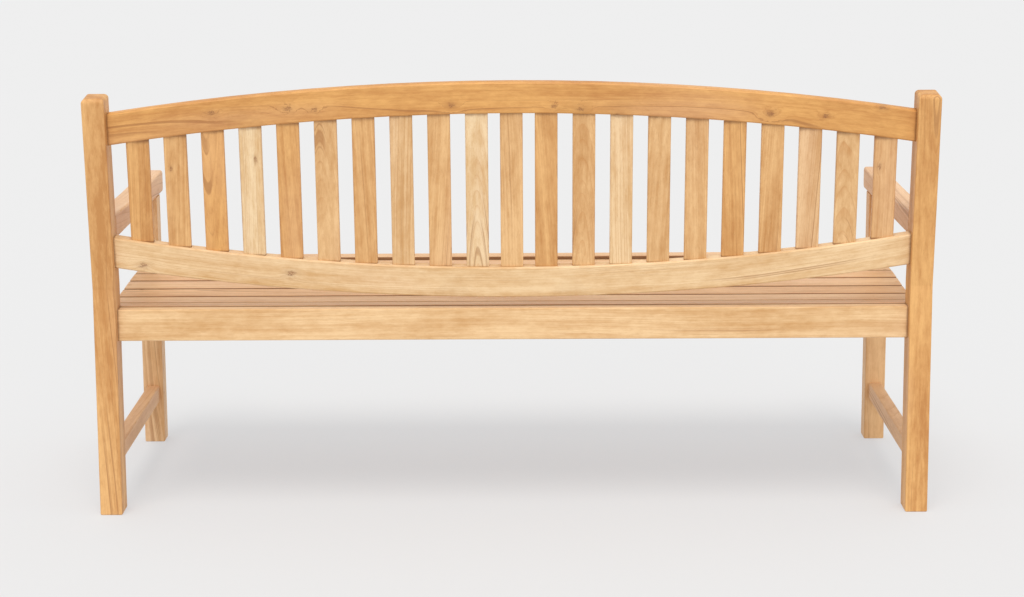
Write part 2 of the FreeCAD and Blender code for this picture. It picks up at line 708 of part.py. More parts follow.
rear_cuts = [[bearer_tenon_rear]]
front_cuts = [[bearer_tenon_front], seat_screws]
straight_rail("rear_seat_rail", SEAT_RAIL_Y, REAR_RAIL_TOP, "rear_rail", rear_cuts)
straight_rail("front_seat_rail", FRONT_LEG_Y, FRONT_RAIL_TOP, "front_rail", front_cuts)


def carrying_edge(rear_y, last):
    """Height of the rear end of an edge that carries the slats up to this one, and its other points."""
    middle_y, middle_z = slat_underside(0, "0")
    rear_z = f"({middle_z} + ({rear_y} - ({middle_y})) * tan({seat_slat_tilt(0)}))"
    return rear_z, seat_support(0, last)[1:]


SEAT_UNDERSIDE = named("{seat_rail_underside}")


def is_lower_side_edge(edge):
    """True for the long lower edges of a side seat rail."""
    return along(edge, Y_AXIS) and edge.BoundBox.ZMax < number(SEAT_UNDERSIDE) + CLOSE


for side, sign in SIDES:
    rear_top_y = post_front_low(SIDE_RAIL_REAR_TOP)
    rear_z, points = carrying_edge(rear_top_y, SEAT_SLATS - 2)
    corners = [
        (FRONT_LEG_REAR_Y, SEAT_UNDERSIDE),
        (post_front_low(SEAT_UNDERSIDE), SEAT_UNDERSIDE),
        (rear_top_y, rear_z),
        *points,
        (FRONT_LEG_REAR_Y, points[-1][1]),
    ]
    blank = side_blank(
        f"side_seat_rail_{side}_blank", corners, named("{side_rail_thickness}"), named("{seat_rail_edge}"),
        sign, is_lower_side_edge,
    )
    finish_piece(
        f"side_seat_rail_{side}", blank,
        [tenons[side]["side_rail_rear"], tenons[side]["side_rail_front"]], [[seat_screws], [tenon_pegs]],
    )

rear_z, points = carrying_edge(BEARER_REAR_Y, SEAT_SLATS - 1)
bearer, sketch = body_sketch("seat_bearer_blank", "YZ_Plane")
draw_outline(sketch, [
    (BEARER_FRONT_Y, SEAT_UNDERSIDE),
    (BEARER_REAR_Y, SEAT_UNDERSIDE),
    (BEARER_REAR_Y, rear_z),
    *points[:-1],
    (BEARER_FRONT_Y, points[-1][1]),
])
pad(bearer, sketch, named("{bearer_thickness}"))
finish_piece("seat_bearer", bearer, [bearer_tenon_rear, bearer_tenon_front], [seat_screws])


def notch(label, sign):
    """Space that a rear post and its clearance take out of the rear seat slat."""
    depth = named("{post_depth}")
    corner = block(label, depth, depth, depth)
    near = named(f"({INNER_X} - {{post_clearance}})")
    front = f"{post_front_low(REAR_RAIL_TOP)} - {named('{post_clearance}')}"
    place(corner, from_side(sign, near, depth), front, named("{rear_seat_rail_top} - {post_depth} / 2"))
    return corner


notches = [notch(f"rear_slat_notch_{side}", sign) for side, sign in SIDES]
for index in range(SEAT_SLATS):
    label = f"seat_slat_{index + 1}"
    blank, sketch = body_sketch(label + "_blank", "YZ_Plane")
    half = seat_slat_half(index)
    under = named("-{seat_slat_thickness}")
    draw_outline(sketch, [(f"-{half}", under), (half, under), (half, "0"), (f"-{half}", "0")])
    length = named("(2 * {seat_slat_reach})")
    if is_front_slat(index):
        length = named(f"(2 * ({INNER_X} - {{post_clearance}}))")
    pad(blank, sketch, length)
    dress(blank, "Fillet", lambda edge: along(edge, X_AXIS), named("{seat_slat_edge}"))
    blank.Placement = FreeCAD.Placement(FreeCAD.Vector(), FreeCAD.Rotation(X_AXIS, 1))
    blank.setExpression("Placement.Rotation.Angle", seat_slat_tilt(index))
    place(blank, "0", named(f"{{rear_face_y}} - {seat_slat_middle(index)}"), seat_slat_top(index))
    cuts = [seat_screws, seat_plugs]
    if index == 0:
        cuts.append(notches)
    finish_piece(label, blank, (), cuts)

# ---------------------------------------------------------------------------
# Legs, stretchers and armrests
# ---------------------------------------------------------------------------
ARM_TOP = named("({arm_underside} + {arm_thickness} + {arm_dish})")
ARM_CHORD = named(f"({post_front_high(ARM_TOP)} - {{arm_nose_y}})")
ARM_RADIUS = named(f"((({ARM_CHORD} / 2)^2 + {{arm_dish}}^2) / (2 * {{arm_dish}}))")


def is_flat_in_x(edge):
    """True for an edge that lies in a side face of an armrest."""
    return edge.BoundBox.XLength < TOUCHING


def arm_blank(side, sign):
    """Armrest: a bar with a slightly hollowed top and a rounded nose."""
    nose = named("{arm_nose_y}")
    under = named("{arm_underside}")
    body, sketch = body_sketch(f"armrest_{side}_blank", "YZ_Plane")
    corners = [
        (post_front_high(under), under),
        (nose, under),
        (nose, ARM_TOP),
        (post_front_high(ARM_TOP), ARM_TOP),
    ]
    draw_outline(sketch, corners, {2: (ARM_RADIUS, 1)})
    pad(body, sketch, named("{leg_thickness}"))
    nose_y = number(nose)
    rear_y = number(post_front_high(under))
    dress(
        body, "Fillet", lambda edge: along(edge, X_AXIS) and edge.BoundBox.YMax < nose_y + CLOSE,
        named("{arm_nose_round}"),
    )
    dress(
        body, "Fillet", lambda edge: is_flat_in_x(edge) and edge.BoundBox.YMin < rear_y - CLOSE,
        named("{arm_edge}"),
    )
    place(body, signed(sign, LEG_X), "0", "0")
    return body


for side, sign in SIDES:
    joint = tenons[side]
    post_mortises = [joint[key] for key in (
        "top_rail", "low_rail", "rear_rail", "side_rail_rear", "stretcher_rear", "arm_rear",
    )]
    finish_piece(f"rear_post_{side}", post_blank(side, sign), (), [post_mortises, tenon_pegs])
    leg_mortises = [joint[key] for key in ("front_rail", "side_rail_front", "stretcher_front")]
    finish_piece(f"front_leg_{side}", leg_blank(side, sign), [joint["leg_top"]], [leg_mortises, tenon_pegs])
    under = named("{stretcher_underside}")
    over = named("({stretcher_underside} + {stretcher_height})")
    outline = [
        (FRONT_LEG_REAR_Y, under), (post_front_low(under), under),
        (post_front_low(over), over), (FRONT_LEG_REAR_Y, over),
    ]
    stretcher = side_blank(
        f"side_stretcher_{side}_blank", outline, named("{stretcher_thickness}"), named("{leg_edge}"),
        sign, lambda edge: along(edge, Y_AXIS),
    )
    stretcher_tenons = [joint["stretcher_rear"], joint["stretcher_front"]]
    finish_piece(f"side_stretcher_{side}", stretcher, stretcher_tenons, [tenon_pegs])
    arm_cuts = [[joint["leg_top"]], tenon_pegs]
    finish_piece(f"armrest_{side}", arm_blank(side, sign), [joint["arm_rear"]], arm_cuts)

# ---------------------------------------------------------------------------
# Checks and export
# ---------------------------------------------------------------------------
doc.recompute()
for item in doc.Objects:
    if "Invalid" in item.State or "Error" in item.State:
        raise RuntimeError(f"{item.Label} failed to rebuild")
for node in NODES:
    if node.Shape.isNull() or not node.Shape.isValid() or not node.Shape.Solids:
        raise RuntimeError(f"{node.Label} is not a sound solid")
os.makedirs("parts", exist_ok=True)
for node in NODES:
    node.Shape.exportStep(f"parts/{node.Label}.step")
print(len(NODES), "pieces written")
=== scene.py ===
import math
import random

import bpy
from mathutils import Matrix, Vector


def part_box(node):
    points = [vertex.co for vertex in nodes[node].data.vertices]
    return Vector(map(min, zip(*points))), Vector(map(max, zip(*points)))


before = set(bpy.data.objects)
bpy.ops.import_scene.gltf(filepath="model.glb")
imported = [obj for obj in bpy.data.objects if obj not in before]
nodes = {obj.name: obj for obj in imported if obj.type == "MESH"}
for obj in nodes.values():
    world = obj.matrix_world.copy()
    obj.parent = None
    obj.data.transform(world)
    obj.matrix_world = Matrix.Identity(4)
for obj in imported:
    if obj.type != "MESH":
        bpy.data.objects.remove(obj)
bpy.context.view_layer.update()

# ---------------------------------------------------------------------------
# Colours, as linear RGB
# ---------------------------------------------------------------------------
HONEY_LIGHT = (0.745, 0.385, 0.115)
HONEY_DARK = (0.490, 0.200, 0.048)
PALE_LIGHT = (0.860, 0.660, 0.410)
PALE_DARK = (0.660, 0.410, 0.180)
PINK_TEAK = (0.760, 0.480, 0.310)
VEIN_BROWN = (0.330, 0.130, 0.040)
KNOT_BROWN = (0.250, 0.100, 0.038)
# A dark brown for the painted shade in seams and beside joints
PAINTED_SHADE_BROWN = (0.210, 0.082, 0.026)
FLOOR_PAINT = (0.340, 0.321, 0.300)
FLOOR_GLOW = (0.418, 0.442, 0.470)
STEEL_GREY = (0.580, 0.570, 0.550)


# ---------------------------------------------------------------------------
# Node tree helper
# ---------------------------------------------------------------------------
class Graph:
    """Adds nodes to a node tree.  An input is a socket to link or a plain value."""

    def __init__(self, tree):
        self.tree = tree

    def connect(self, socket, value):
        if isinstance(value, bpy.types.NodeSocket):
            self.tree.links.new(value, socket)
        elif value is not None:
            socket.default_value = value

    def node(self, kind, inputs=None, **settings):
        node = self.tree.nodes.new(kind)
        for name, value in settings.items():
            setattr(node, name, value)
        for name, value in (inputs or {}).items():
            self.connect(node.inputs[name], value)
        return node

    def math(self, operation, first, second=None, clamp=False):
        node = self.node("ShaderNodeMath", operation=operation, use_clamp=clamp)
        self.connect(node.inputs[0], first)
        self.connect(node.inputs[1], second)
        return node.outputs[0]

    def add(self, first, second, clamp=False):
        return self.math("ADD", first, second, clamp)

    def times(self, first, second):
        return self.math("MULTIPLY", first, second)

    def centred(self, value, strength):
        """A 0 to 1 value as a swing about zero of this strength."""
        return self.times(self.math("SUBTRACT", value, 0.5), strength)

    def vector(self, operation, first, second=None):
        node = self.node("ShaderNodeVectorMath", operation=operation)
        self.connect(node.inputs[0], first)
        self.connect(node.inputs[1], second)
        return node.outputs["Value" if operation in ("LENGTH", "DOT_PRODUCT") else "Vector"]

    def noise(self, vector, stretch, detail=1.0, roughness=0.5, output="Fac"):
        """Noise with its own number of features per metre along each axis."""
        scaled = self.vector("MULTIPLY", vector, stretch)
        inputs = {"Vector": scaled, "Scale": 1.0, "Detail": detail, "Roughness": roughness}
        return self.node("ShaderNodeTexNoise", inputs).outputs[output]

    def noise_along(self, distance, per_metre, shift, detail=1.0):
        """Noise that depends on one distance only."""
        place = self.add(self.times(distance, per_metre), shift)
        inputs = {"W": place, "Scale": 1.0, "Detail": detail}
        return self.node("ShaderNodeTexNoise", inputs, noise_dimensions="1D").outputs["Fac"]

    def ramp(self, value, start, end):
        """Smooth step from 0 at start to 1 at end."""
        node = self.node("ShaderNodeMapRange", interpolation_type="SMOOTHSTEP")
        for name, item in (("Value", value), ("From Min", start), ("From Max", end)):
            self.connect(node.inputs[name], item)
        return node.outputs["Result"]

    def blend(self, factor, first, second):
        """The first colour at factor 0, the second at 1."""
        node = self.node("ShaderNodeMix", data_type="RGBA", clamp_factor=True)
        for index, item in ((0, factor), (6, first), (7, second)):
            self.connect(node.inputs[index], item)
        return node.outputs[2]


def rgba(colour):
    """An opaque colour, as Blender's colour sockets take it."""
    return (*colour, 1.0)


def mixed(first, second, share):
    """The first colour with this share of the second in it."""
    return tuple(a + (b - a) * share for a, b in zip(first, second))


def add_sockets(tree, direction, sockets):
    """Give a node group its inputs or outputs: lists of names by kind of socket."""
    for kind, names in sockets.items():
        for name in names:
            tree.interface.new_socket(name, in_out=direction, socket_type="NodeSocket" + kind)


# ---------------------------------------------------------------------------
# Teak
# ---------------------------------------------------------------------------
RING_SPACING = 0.0052
RING_WANDER = (0.0, 0.060, 0.060)
RING_RIPPLE = (0.0, 0.003, 0.003)
SEED_STEP = (7.3, 3.1, 5.7)
HALF = (0.5, 0.5, 0.5)
BUMP_DEPTH = 0.00035
BUMP_STRENGTH = 0.6
WOOD_SPECULAR = 0.35

# Layers of the figure: features per metre along the grain, across the board and into it
SLOW_WANDER = (0.8, 6.0, 6.0)
QUICK_WANDER = (5.0, 40.0, 40.0)
RING_PATCHES = (2.0, 18.0, 18.0)
VEIN_PATCHES = (1.8, 24.0, 24.0)
PINK_PATCHES = (1.6, 9.0, 9.0)
FIBRES = (22.0, 620.0, 620.0)
PORES = (75.0, 2300.0, 2300.0)
STREAKS = (3.0, 120.0, 120.0)
BLOTCHES = (3.5, 13.0, 13.0)
MOTTLE = (28.0, 70.0, 70.0)
KNOT_OUTLINE = (110.0, 190.0, 190.0)
KNOT_SPECKS = (420.0, 520.0, 520.0)

# Layers that follow the rings: features per metre away from the pith
BROAD_RINGS = 42.0
UNEVEN_RINGS = 70.0
VEIN_RINGS = 130.0
MEDIUM_RINGS = 190.0


def make_teak_group():
    """Solid wood: rings round a pith that runs along local X, with fibres and pores along the grain."""
    tree = bpy.data.node_groups.new("teak", "ShaderNodeTree")
    add_sockets(tree, "INPUT", {
        "Vector": ["Place", "Pith"],
        # Painted shade comes in as the last float input
        "Float": ["Seed", "Slope", "Tilt", "Bend", "Pinkness", "Swirl", "Knots", "End grain", "Painted shade"],
        "Color": ["Pale", "Deep"],
    })
    add_sockets(tree, "OUTPUT", {"Color": ["Color"], "Float": ["Roughness", "Height"]})
    g = Graph(tree)
    given = g.node("NodeGroupInput").outputs
    seed = given["Seed"]

    # Grain that runs out of the board: sideways and in curves on its face, and into its thickness
    along = g.node("ShaderNodeSeparateXYZ", {"Vector": given["Place"]}).outputs["X"]
    sideways = g.times(along, g.add(given["Tilt"], g.times(along, given["Bend"])))
    inwards = g.times(along, given["Slope"])
    lean = g.node("ShaderNodeCombineXYZ", {"Y": sideways, "Z": inwards}).outputs["Vector"]
    place = g.vector("ADD", given["Place"], lean)
    shift = g.vector("SCALE", SEED_STEP)
    g.connect(shift.node.inputs["Scale"], seed)
    shifted = g.vector("ADD", place, shift)

    # Rings, wandering slowly along the board and swirling round the knots
    slow = g.noise(shifted, SLOW_WANDER, output="Color")
    quick = g.noise(shifted, QUICK_WANDER, output="Color")
    wander = g.vector("MULTIPLY", g.vector("SUBTRACT", slow, HALF), RING_WANDER)
    ripple = g.vector("MULTIPLY", g.vector("SUBTRACT", quick, HALF), RING_RIPPLE)
    strayed = g.vector("ADD", g.vector("ADD", place, wander), ripple)
    from_pith = g.vector("SUBTRACT", strayed, given["Pith"])
    across = g.vector("MULTIPLY", from_pith, (0.0, 1.0, 1.0))
    radius = g.add(g.vector("LENGTH", across), given["Swirl"])
    broad = g.noise_along(radius, BROAD_RINGS, seed)
    medium = g.noise_along(radius, MEDIUM_RINGS, seed, detail=2.0)
    uneven = g.centred(g.noise_along(radius, UNEVEN_RINGS, seed), 1.6)
    phase = g.math("FRACT", g.add(g.times(radius, 1.0 / RING_SPACING), uneven))
    late_wood = g.math("POWER", phase, 5.0)
    ring_line = g.times(late_wood, g.ramp(g.noise(shifted, RING_PATCHES), 0.30, 0.75))

    # Veins: thin dark lines where slow noise across the rings crosses its middle value
    crossing = g.math("ABSOLUTE", g.math("SUBTRACT", g.noise_along(radius, VEIN_RINGS, seed), 0.5))
    vein = g.math("SUBTRACT", 1.0, g.ramp(crossing, 0.004, 0.030))
    vein = g.times(vein, g.ramp(g.noise(shifted, VEIN_PATCHES), 0.48, 0.66))

    # Fibres, pores, streaks, blotches and mottling
    fibre = g.noise(shifted, FIBRES, detail=2.0, roughness=0.6)
    pores = g.ramp(g.noise(shifted, PORES), 0.60, 0.74)
    streak = g.noise(shifted, STREAKS, detail=2.0, roughness=0.6)
    blotch = g.noise(shifted, BLOTCHES, detail=2.0)
    mottle = g.noise(shifted, MOTTLE, detail=3.0, roughness=0.65)

    # Colour: a tone between deep and pale, then pink patches, then each darker layer over it
    tone = g.add(0.58, g.centred(broad, 1.00))
    for layer, strength in ((medium, 0.50), (streak, 0.90), (fibre, 0.80), (blotch, 1.50), (mottle, 1.20)):
        tone = g.add(tone, g.centred(layer, strength))
    tone = g.add(tone, 0.0, clamp=True)
    colour = g.blend(tone, given["Deep"], given["Pale"])
    pinkish = g.times(g.ramp(g.noise(shifted, PINK_PATCHES), 0.50, 0.80), 0.30)
    pinkish = g.add(pinkish, given["Pinkness"], clamp=True)
    colour = g.blend(pinkish, colour, rgba(PINK_TEAK))
    for layer, strength, stain_and_shade in (
        (ring_line, 0.55, HONEY_DARK), (vein, 0.55, VEIN_BROWN), (pores, 0.35, HONEY_DARK),
        (given["Knots"], 0.80, KNOT_BROWN), (given["End grain"], 0.35, HONEY_DARK),
        # the painted shade of seams and joints, in a dark brown
        (given["Painted shade"], 1.00, PAINTED_SHADE_BROWN),
    ):
        colour = g.blend(g.times(layer, strength), colour, rgba(stain_and_shade))

    roughness = g.add(g.add(0.50, g.centred(fibre, 0.16)), g.times(pores, 0.12))
    height = g.add(g.centred(fibre, 0.7), g.times(pores, -0.8))
    height = g.add(height, g.times(ring_line, -0.5))
    height = g.add(height, g.centred(blotch, 0.8))
    out = g.node("NodeGroupOutput")
    for name, value in (("Color", colour), ("Roughness", roughness), ("Height", height)):
        g.connect(out.inputs[name], value)
    return tree


def make_knot_group():
    """One knot: the push it gives the rings near it, and its dark core."""
    tree = bpy.data.node_groups.new("knot", "ShaderNodeTree")
    add_sockets(tree, "INPUT", {"Vector": ["Place", "Centre"], "Float": ["Size"]})
    add_sockets(tree, "OUTPUT", {"Float": ["Swirl", "Core"]})
    g = Graph(tree)
    given = g.node("NodeGroupInput").outputs
    offset = g.vector("SUBTRACT", given["Place"], given["Centre"])
    rough_edge = g.vector("SUBTRACT", g.noise(given["Place"], KNOT_OUTLINE, output="Color"), HALF)
    offset = g.vector("ADD", offset, g.vector("MULTIPLY", rough_edge, (0.014, 0.010, 0.0)))
    drawn_out = g.vector("MULTIPLY", offset, (0.55, 1.0, 0.0))
    near = g.math("DIVIDE", g.vector("LENGTH", drawn_out), given["Size"])
    falloff = g.math("EXPONENT", g.times(g.times(near, near), -0.12))
    swirl = g.times(falloff, g.times(given["Size"], 2.6))
    specks = g.ramp(g.noise(given["Place"], KNOT_SPECKS, detail=2.0), 0.42, 0.60)
    heart = g.times(g.math("SUBTRACT", 1.0, g.ramp(near, 0.30, 1.60)), g.add(0.35, g.times(specks, 0.75)))
    halo = g.times(g.math("SUBTRACT", 1.0, g.ramp(near, 0.80, 3.60)), 0.20)
    core = g.add(heart, halo)
    out = g.node("NodeGroupOutput")
    g.connect(out.inputs["Swirl"], swirl)
    g.connect(out.inputs["Core"], core)
    return tree


TEAK_GROUP = make_teak_group()
KNOT_GROUP = make_knot_group()


def middle_of(node):
    """Centre of a CAD node's box."""
    low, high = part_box(node)
    return (low + high) / 2


def size_of(node):
    """Lengths of a CAD node's box."""
    low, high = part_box(node)
    return high - low


# Painted shade in a seam grows between these two cosines of the angle from a seam's direction
SEAM_BEGINS = 0.45
SEAM_FULL = 0.85
SEAM_STRENGTH = 0.8
JOINT_PATCHES = (70.0, 70.0, 70.0)
JOINT_STRENGTH = 0.75


def painted_seam_shade(g, seams):
    """Painted shade: darkening of the faces that look into a narrow seam, where shade falls; each seam is
    given as the direction its faces face.
    """
    painted_shade = 0.0
    normal = g.node("ShaderNodeNewGeometry").outputs["True Normal"]
    for direction in seams:
        turned = g.vector("DOT_PRODUCT", normal, direction)
        dirt = g.times(g.ramp(turned, SEAM_BEGINS, SEAM_FULL), SEAM_STRENGTH)
        painted_shade = g.add(dirt, painted_shade, clamp=True)
    return painted_shade


def painted_joint_shade(g, joints):
    """Painted shade beside a joint, where the parts meet: each joint is a point, the direction away from
    it, and a reach.
    """
    painted_shade = 0.0
    place = g.node("ShaderNodeTexCoord").outputs["Object"]
    uneven = g.add(g.times(g.noise(place, JOINT_PATCHES, detail=2.0), 1.2), 0.4)
    for point, away, reach in joints:
        distance = g.vector("DOT_PRODUCT", g.vector("SUBTRACT", place, point), away)
        near = g.math("DIVIDE", distance, g.times(uneven, reach))
        dirt = g.times(g.math("SUBTRACT", 1.0, g.ramp(near, 0.0, 1.0)), JOINT_STRENGTH)
        painted_shade = g.add(dirt, painted_shade, clamp=True)
    return painted_shade


def cut_from_log(draw, length, flat_sawn):
    """Where the pith of the tree lies from the middle of a board, and how the grain runs out of it.
    A flat-sawn board has its pith close behind its face, so its rings show as long arches."""
    if flat_sawn:
        pith = (0.0, draw.uniform(-0.010, 0.010), draw.choice((-1, 1)) * draw.uniform(0.028, 0.045))
        slope = draw.choice((-1, 1)) * draw.uniform(0.030, 0.045) / length
        tilt = draw.uniform(-0.02, 0.02)
    else:
        pith = (0.0, draw.choice((-1, 1)) * draw.uniform(0.06, 0.16), draw.uniform(-0.10, 0.10))
        slope = draw.uniform(-0.010, 0.010) / length
        tilt = draw.choice((-1, 1)) * draw.uniform(0.01, 0.07) * min(1.0, 0.5 / length)
    return pith, slope, tilt


def teak_material(
    node, grain, width, tone, flat_sawn=False, knots=(), seams=(), joints=(), pinkness=0.0, bend=0.0,
):
    """Teak for one piece.  grain and width are directions.  tone runs from 0, deep honey, to 1, pale.
    Each knot is (along, across, size) from the piece's centre.  The same node always gets the same
    board, because its own name seeds the draws."""
    draw = random.Random("garden bench " + node)
    thickness = grain.cross(width)
    turn = Matrix((grain, width, thickness)).transposed().to_euler()
    material = bpy.data.materials.new("teak_" + node)
    material.use_nodes = True
    tree = material.node_tree
    tree.nodes.clear()
    g = Graph(tree)
    local = g.node("ShaderNodeMapping", {
        "Vector": g.node("ShaderNodeTexCoord").outputs["Object"],
        "Location": middle_of(node), "Rotation": turn,
    }, vector_type="TEXTURE").outputs["Vector"]
    pith, slope, tilt = cut_from_log(draw, abs(size_of(node).dot(grain)), flat_sawn)
    swirl = 0.0
    cores = 0.0
    for along, across, size in knots:
        knot = g.node("ShaderNodeGroup", node_tree=KNOT_GROUP)
        g.connect(knot.inputs["Place"], local)
        g.connect(knot.inputs["Centre"], (along, across, 0.0))
        g.connect(knot.inputs["Size"], size)
        swirl = g.add(knot.outputs["Swirl"], swirl)
        cores = g.add(knot.outputs["Core"], cores, clamp=True)
    facing = g.vector("DOT_PRODUCT", g.node("ShaderNodeNewGeometry").outputs["True Normal"], grain)
    end_grain = g.ramp(g.math("ABSOLUTE", facing), 0.80, 0.97)
    # Painted shade in the seams and beside the joints
    painted_shade = g.add(painted_seam_shade(g, seams), painted_joint_shade(g, joints), clamp=True)
    wood = g.node("ShaderNodeGroup", node_tree=TEAK_GROUP)
    values = {
        "Place": local, "Pith": pith, "Seed": draw.uniform(0, 40),
        "Slope": slope, "Tilt": tilt, "Bend": bend, "Pinkness": pinkness,
        "Swirl": swirl, "Knots": cores, "Painted shade": painted_shade, "End grain": end_grain,
        "Pale": rgba(mixed(HONEY_LIGHT, PALE_LIGHT, tone)),
        "Deep": rgba(mixed(HONEY_DARK, PALE_DARK, tone)),
    }
    for socket, value in values.items():
        g.connect(wood.inputs[socket], value)
    bump = g.node("ShaderNodeBump", {
        "Height": wood.outputs["Height"], "Distance": BUMP_DEPTH, "Strength": BUMP_STRENGTH,
    })
    shader = g.node("ShaderNodeBsdfPrincipled", {
        "Base Color": wood.outputs["Color"], "Roughness": wood.outputs["Roughness"],
        "Normal": bump.outputs["Normal"], "Specular IOR Level": WOOD_SPECULAR,
    })
    g.node("ShaderNodeOutputMaterial", {"Surface": shader.outputs["BSDF"]})
    return material


TURNING_MARKS = (400.0, 400.0, 9000.0)


def steel_material():
    """Plain stainless steel with fine turning marks."""
    material = bpy.data.materials.new("screw_steel")
    material.use_nodes = True
    tree = material.node_tree
    tree.nodes.clear()
    g = Graph(tree)
    place = g.node("ShaderNodeTexCoord").outputs["Object"]
    marks = g.noise(place, TURNING_MARKS, detail=2.0)
    tint = g.blend(marks, rgba(mixed(STEEL_GREY, (0.0, 0.0, 0.0), 0.25)), rgba(STEEL_GREY))
    shader = g.node("ShaderNodeBsdfPrincipled", {
        "Base Color": tint, "Metallic": 1.0, "Roughness": g.add(0.28, g.centred(marks, 0.2)),
    })
    g.node("ShaderNodeOutputMaterial", {"Surface": shader.outputs["BSDF"]})
    return material


# ---------------------------------------------------------------------------
# Which wood each piece gets
# ---------------------------------------------------------------------------
BACK_RAKE = math.radians(6.28)
ACROSS = Vector((1, 0, 0))
BACKWARD = Vector((0, 1, 0))
UP = Vector((0, 0, 1))
UP_THE_BACK = Vector((0, math.sin(BACK_RAKE), math.cos(BACK_RAKE)))

# How pale each back slat is, from the sitter's right to the left, matched to the photograph
BACK_SLAT_TONES = (
    0.35, 0.50, 0.52, 0.30, 0.15, 0.38, 0.44, 0.74, 0.40, 0.20, 0.40,
    0.90, 0.36, 0.62, 0.28, 0.45, 0.14, 0.94, 0.03, 0.28, 0.16,
)
FLAT_SAWN_SLATS = (2, 9, 12, 16, 19)

# Knots, each (along, across, size) from the middle of its piece
SLAT_KNOTS = {
    1: ((0.045, 0.012, 0.0030),),
    18: ((0.070, -0.010, 0.0028),),
    20: ((0.050, 0.010, 0.0025),),
}
TOP_RAIL_KNOTS = (
    (0.63, 0.004, 0.0040), (0.47, 0.012, 0.0045), (0.415, 0.010, 0.0035), (0.125, 0.018, 0.0040),
    (-0.090, 0.014, 0.0030), (-0.145, 0.008, 0.0040), (-0.220, -0.006, 0.0035),
    (-0.545, -0.004, 0.0045), (-0.660, -0.010, 0.0035), (-0.780, 0.008, 0.0040),
)
LOW_RAIL_KNOTS = ((0.475, -0.012, 0.0050), (0.79, 0.006, 0.0045))

# How the grain of the curved rails bows: it shifts across by this times the square of the way along
TOP_RAIL_BEND = 0.080
LOW_RAIL_BEND = -0.110

# Share of pink in the wood of pieces that are pinker than the back in the photograph: teak's own pinkish
# tone, and on the seat slats, the stretchers and the side seat rails, which lie in the back's shade,
# painted shade as well
LEG_PINKNESS = 0.10
SHADED_PINKNESS = 0.30
ARM_PINKNESS = 0.45

# The seat slats differ a little in tone, by a cosine of their number
SEAT_SLAT_COUNT = 8
SEAT_TONE = 0.45
SEAT_TONE_SWING = 0.10

# Rounding of the curved rails' edges
WELD_DISTANCE = 0.00002
EASING = 0.0012
SHARP_ANGLE = math.radians(30)

# Depth of the slats inside the rails, and how far the painted shade spreads from a joint
HOUSING = 0.014
RAIL_JOINT_REACH = 0.006
SLAT_TOP_REACH = 0.010
SLAT_FOOT_REACH = 0.004


def clothe(node, grain, width, tone, **more):
    """Give a CAD node its own teak."""
    nodes[node].material_slots[0].material = teak_material(node, grain, width, tone, **more)


def ease_edges(node):
    """Weld the CAD faces of a node together and round the sharp lines between them a little."""
    piece = nodes[node]
    weld = piece.modifiers.new("weld", "WELD")
    weld.merge_threshold = WELD_DISTANCE
    bevel = piece.modifiers.new("ease", "BEVEL")
    bevel.width = EASING
    bevel.segments = 2
    bevel.limit_method = "ANGLE"
    bevel.angle_limit = SHARP_ANGLE
    bevel.use_clamp_overlap = True


def rail_joints():
    """Joints of a long rail with the rear posts, at its two ends."""
    inner_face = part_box("rear_post_left")[0].x
    return [
        (Vector((side * inner_face, 0, 0)), Vector((-side, 0, 0)), RAIL_JOINT_REACH) for side in (-1, 1)
    ]


def slat_joints(node):
    """Joints of a back slat, where it comes out of the top rail and out of the lower rail."""
    low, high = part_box(node)
    top = high - UP_THE_BACK * HOUSING
    foot = low + UP_THE_BACK * HOUSING
    return [(top, -UP_THE_BACK, SLAT_TOP_REACH), (foot, UP_THE_BACK, SLAT_FOOT_REACH)]


# Back slats get painted shade where they come out of the rails
for number, tone in enumerate(BACK_SLAT_TONES, start=1):
    slat = f"back_slat_{number:02d}"
    clothe(
        slat, UP_THE_BACK, ACROSS, tone, flat_sawn=number in FLAT_SAWN_SLATS,
        knots=SLAT_KNOTS.get(number, ()), joints=slat_joints(slat),
    )
# The back rails and the rear seat rail get painted shade at their ends beside the posts; the rear seat
# rail also in its seam with the seat
clothe(
    "top_rail", ACROSS, UP_THE_BACK, 0.02, flat_sawn=True, knots=TOP_RAIL_KNOTS, joints=rail_joints(),
    bend=TOP_RAIL_BEND,
)
clothe(
    "lower_back_rail", ACROSS, UP_THE_BACK, 0.76, knots=LOW_RAIL_KNOTS, joints=rail_joints(),
    bend=LOW_RAIL_BEND,
)
clothe("rear_seat_rail", ACROSS, UP, 0.62, seams=[-BACKWARD], joints=rail_joints())
clothe("front_seat_rail", ACROSS, UP, 0.60)
# Seat slats: painted shade on the faces that look into the gaps between them
for number in range(1, SEAT_SLAT_COUNT + 1):
    # The front slat has a neighbour only behind it
    seams = [BACKWARD] if number == SEAT_SLAT_COUNT else [BACKWARD, -BACKWARD]
    # The seat slats' pink tint is partly painted shade
    clothe(
        f"seat_slat_{number}", ACROSS, BACKWARD, SEAT_TONE + SEAT_TONE_SWING * math.cos(3 * number),
        flat_sawn=number % 3 == 0, seams=seams, pinkness=SHADED_PINKNESS,
    )
for side, post_tone, leg_tone in (("left", 0.20, 0.62), ("right", 0.12, 0.45)):
    clothe(f"rear_post_{side}", UP, ACROSS, post_tone, flat_sawn=side == "right")
    clothe(f"front_leg_{side}", UP, ACROSS, leg_tone, pinkness=LEG_PINKNESS)
    clothe(f"armrest_{side}", BACKWARD, ACROSS, 0.60, pinkness=ARM_PINKNESS)
    # The pink tint of the stretchers and side seat rails is partly painted shade
    clothe(f"side_stretcher_{side}", BACKWARD, UP, 0.45, pinkness=SHADED_PINKNESS)
    clothe(f"side_seat_rail_{side}", BACKWARD, UP, 0.50, pinkness=SHADED_PINKNESS)
clothe("seat_bearer", BACKWARD, UP, 0.50)
clothe("tenon_pegs", ACROSS, UP, 0.05)
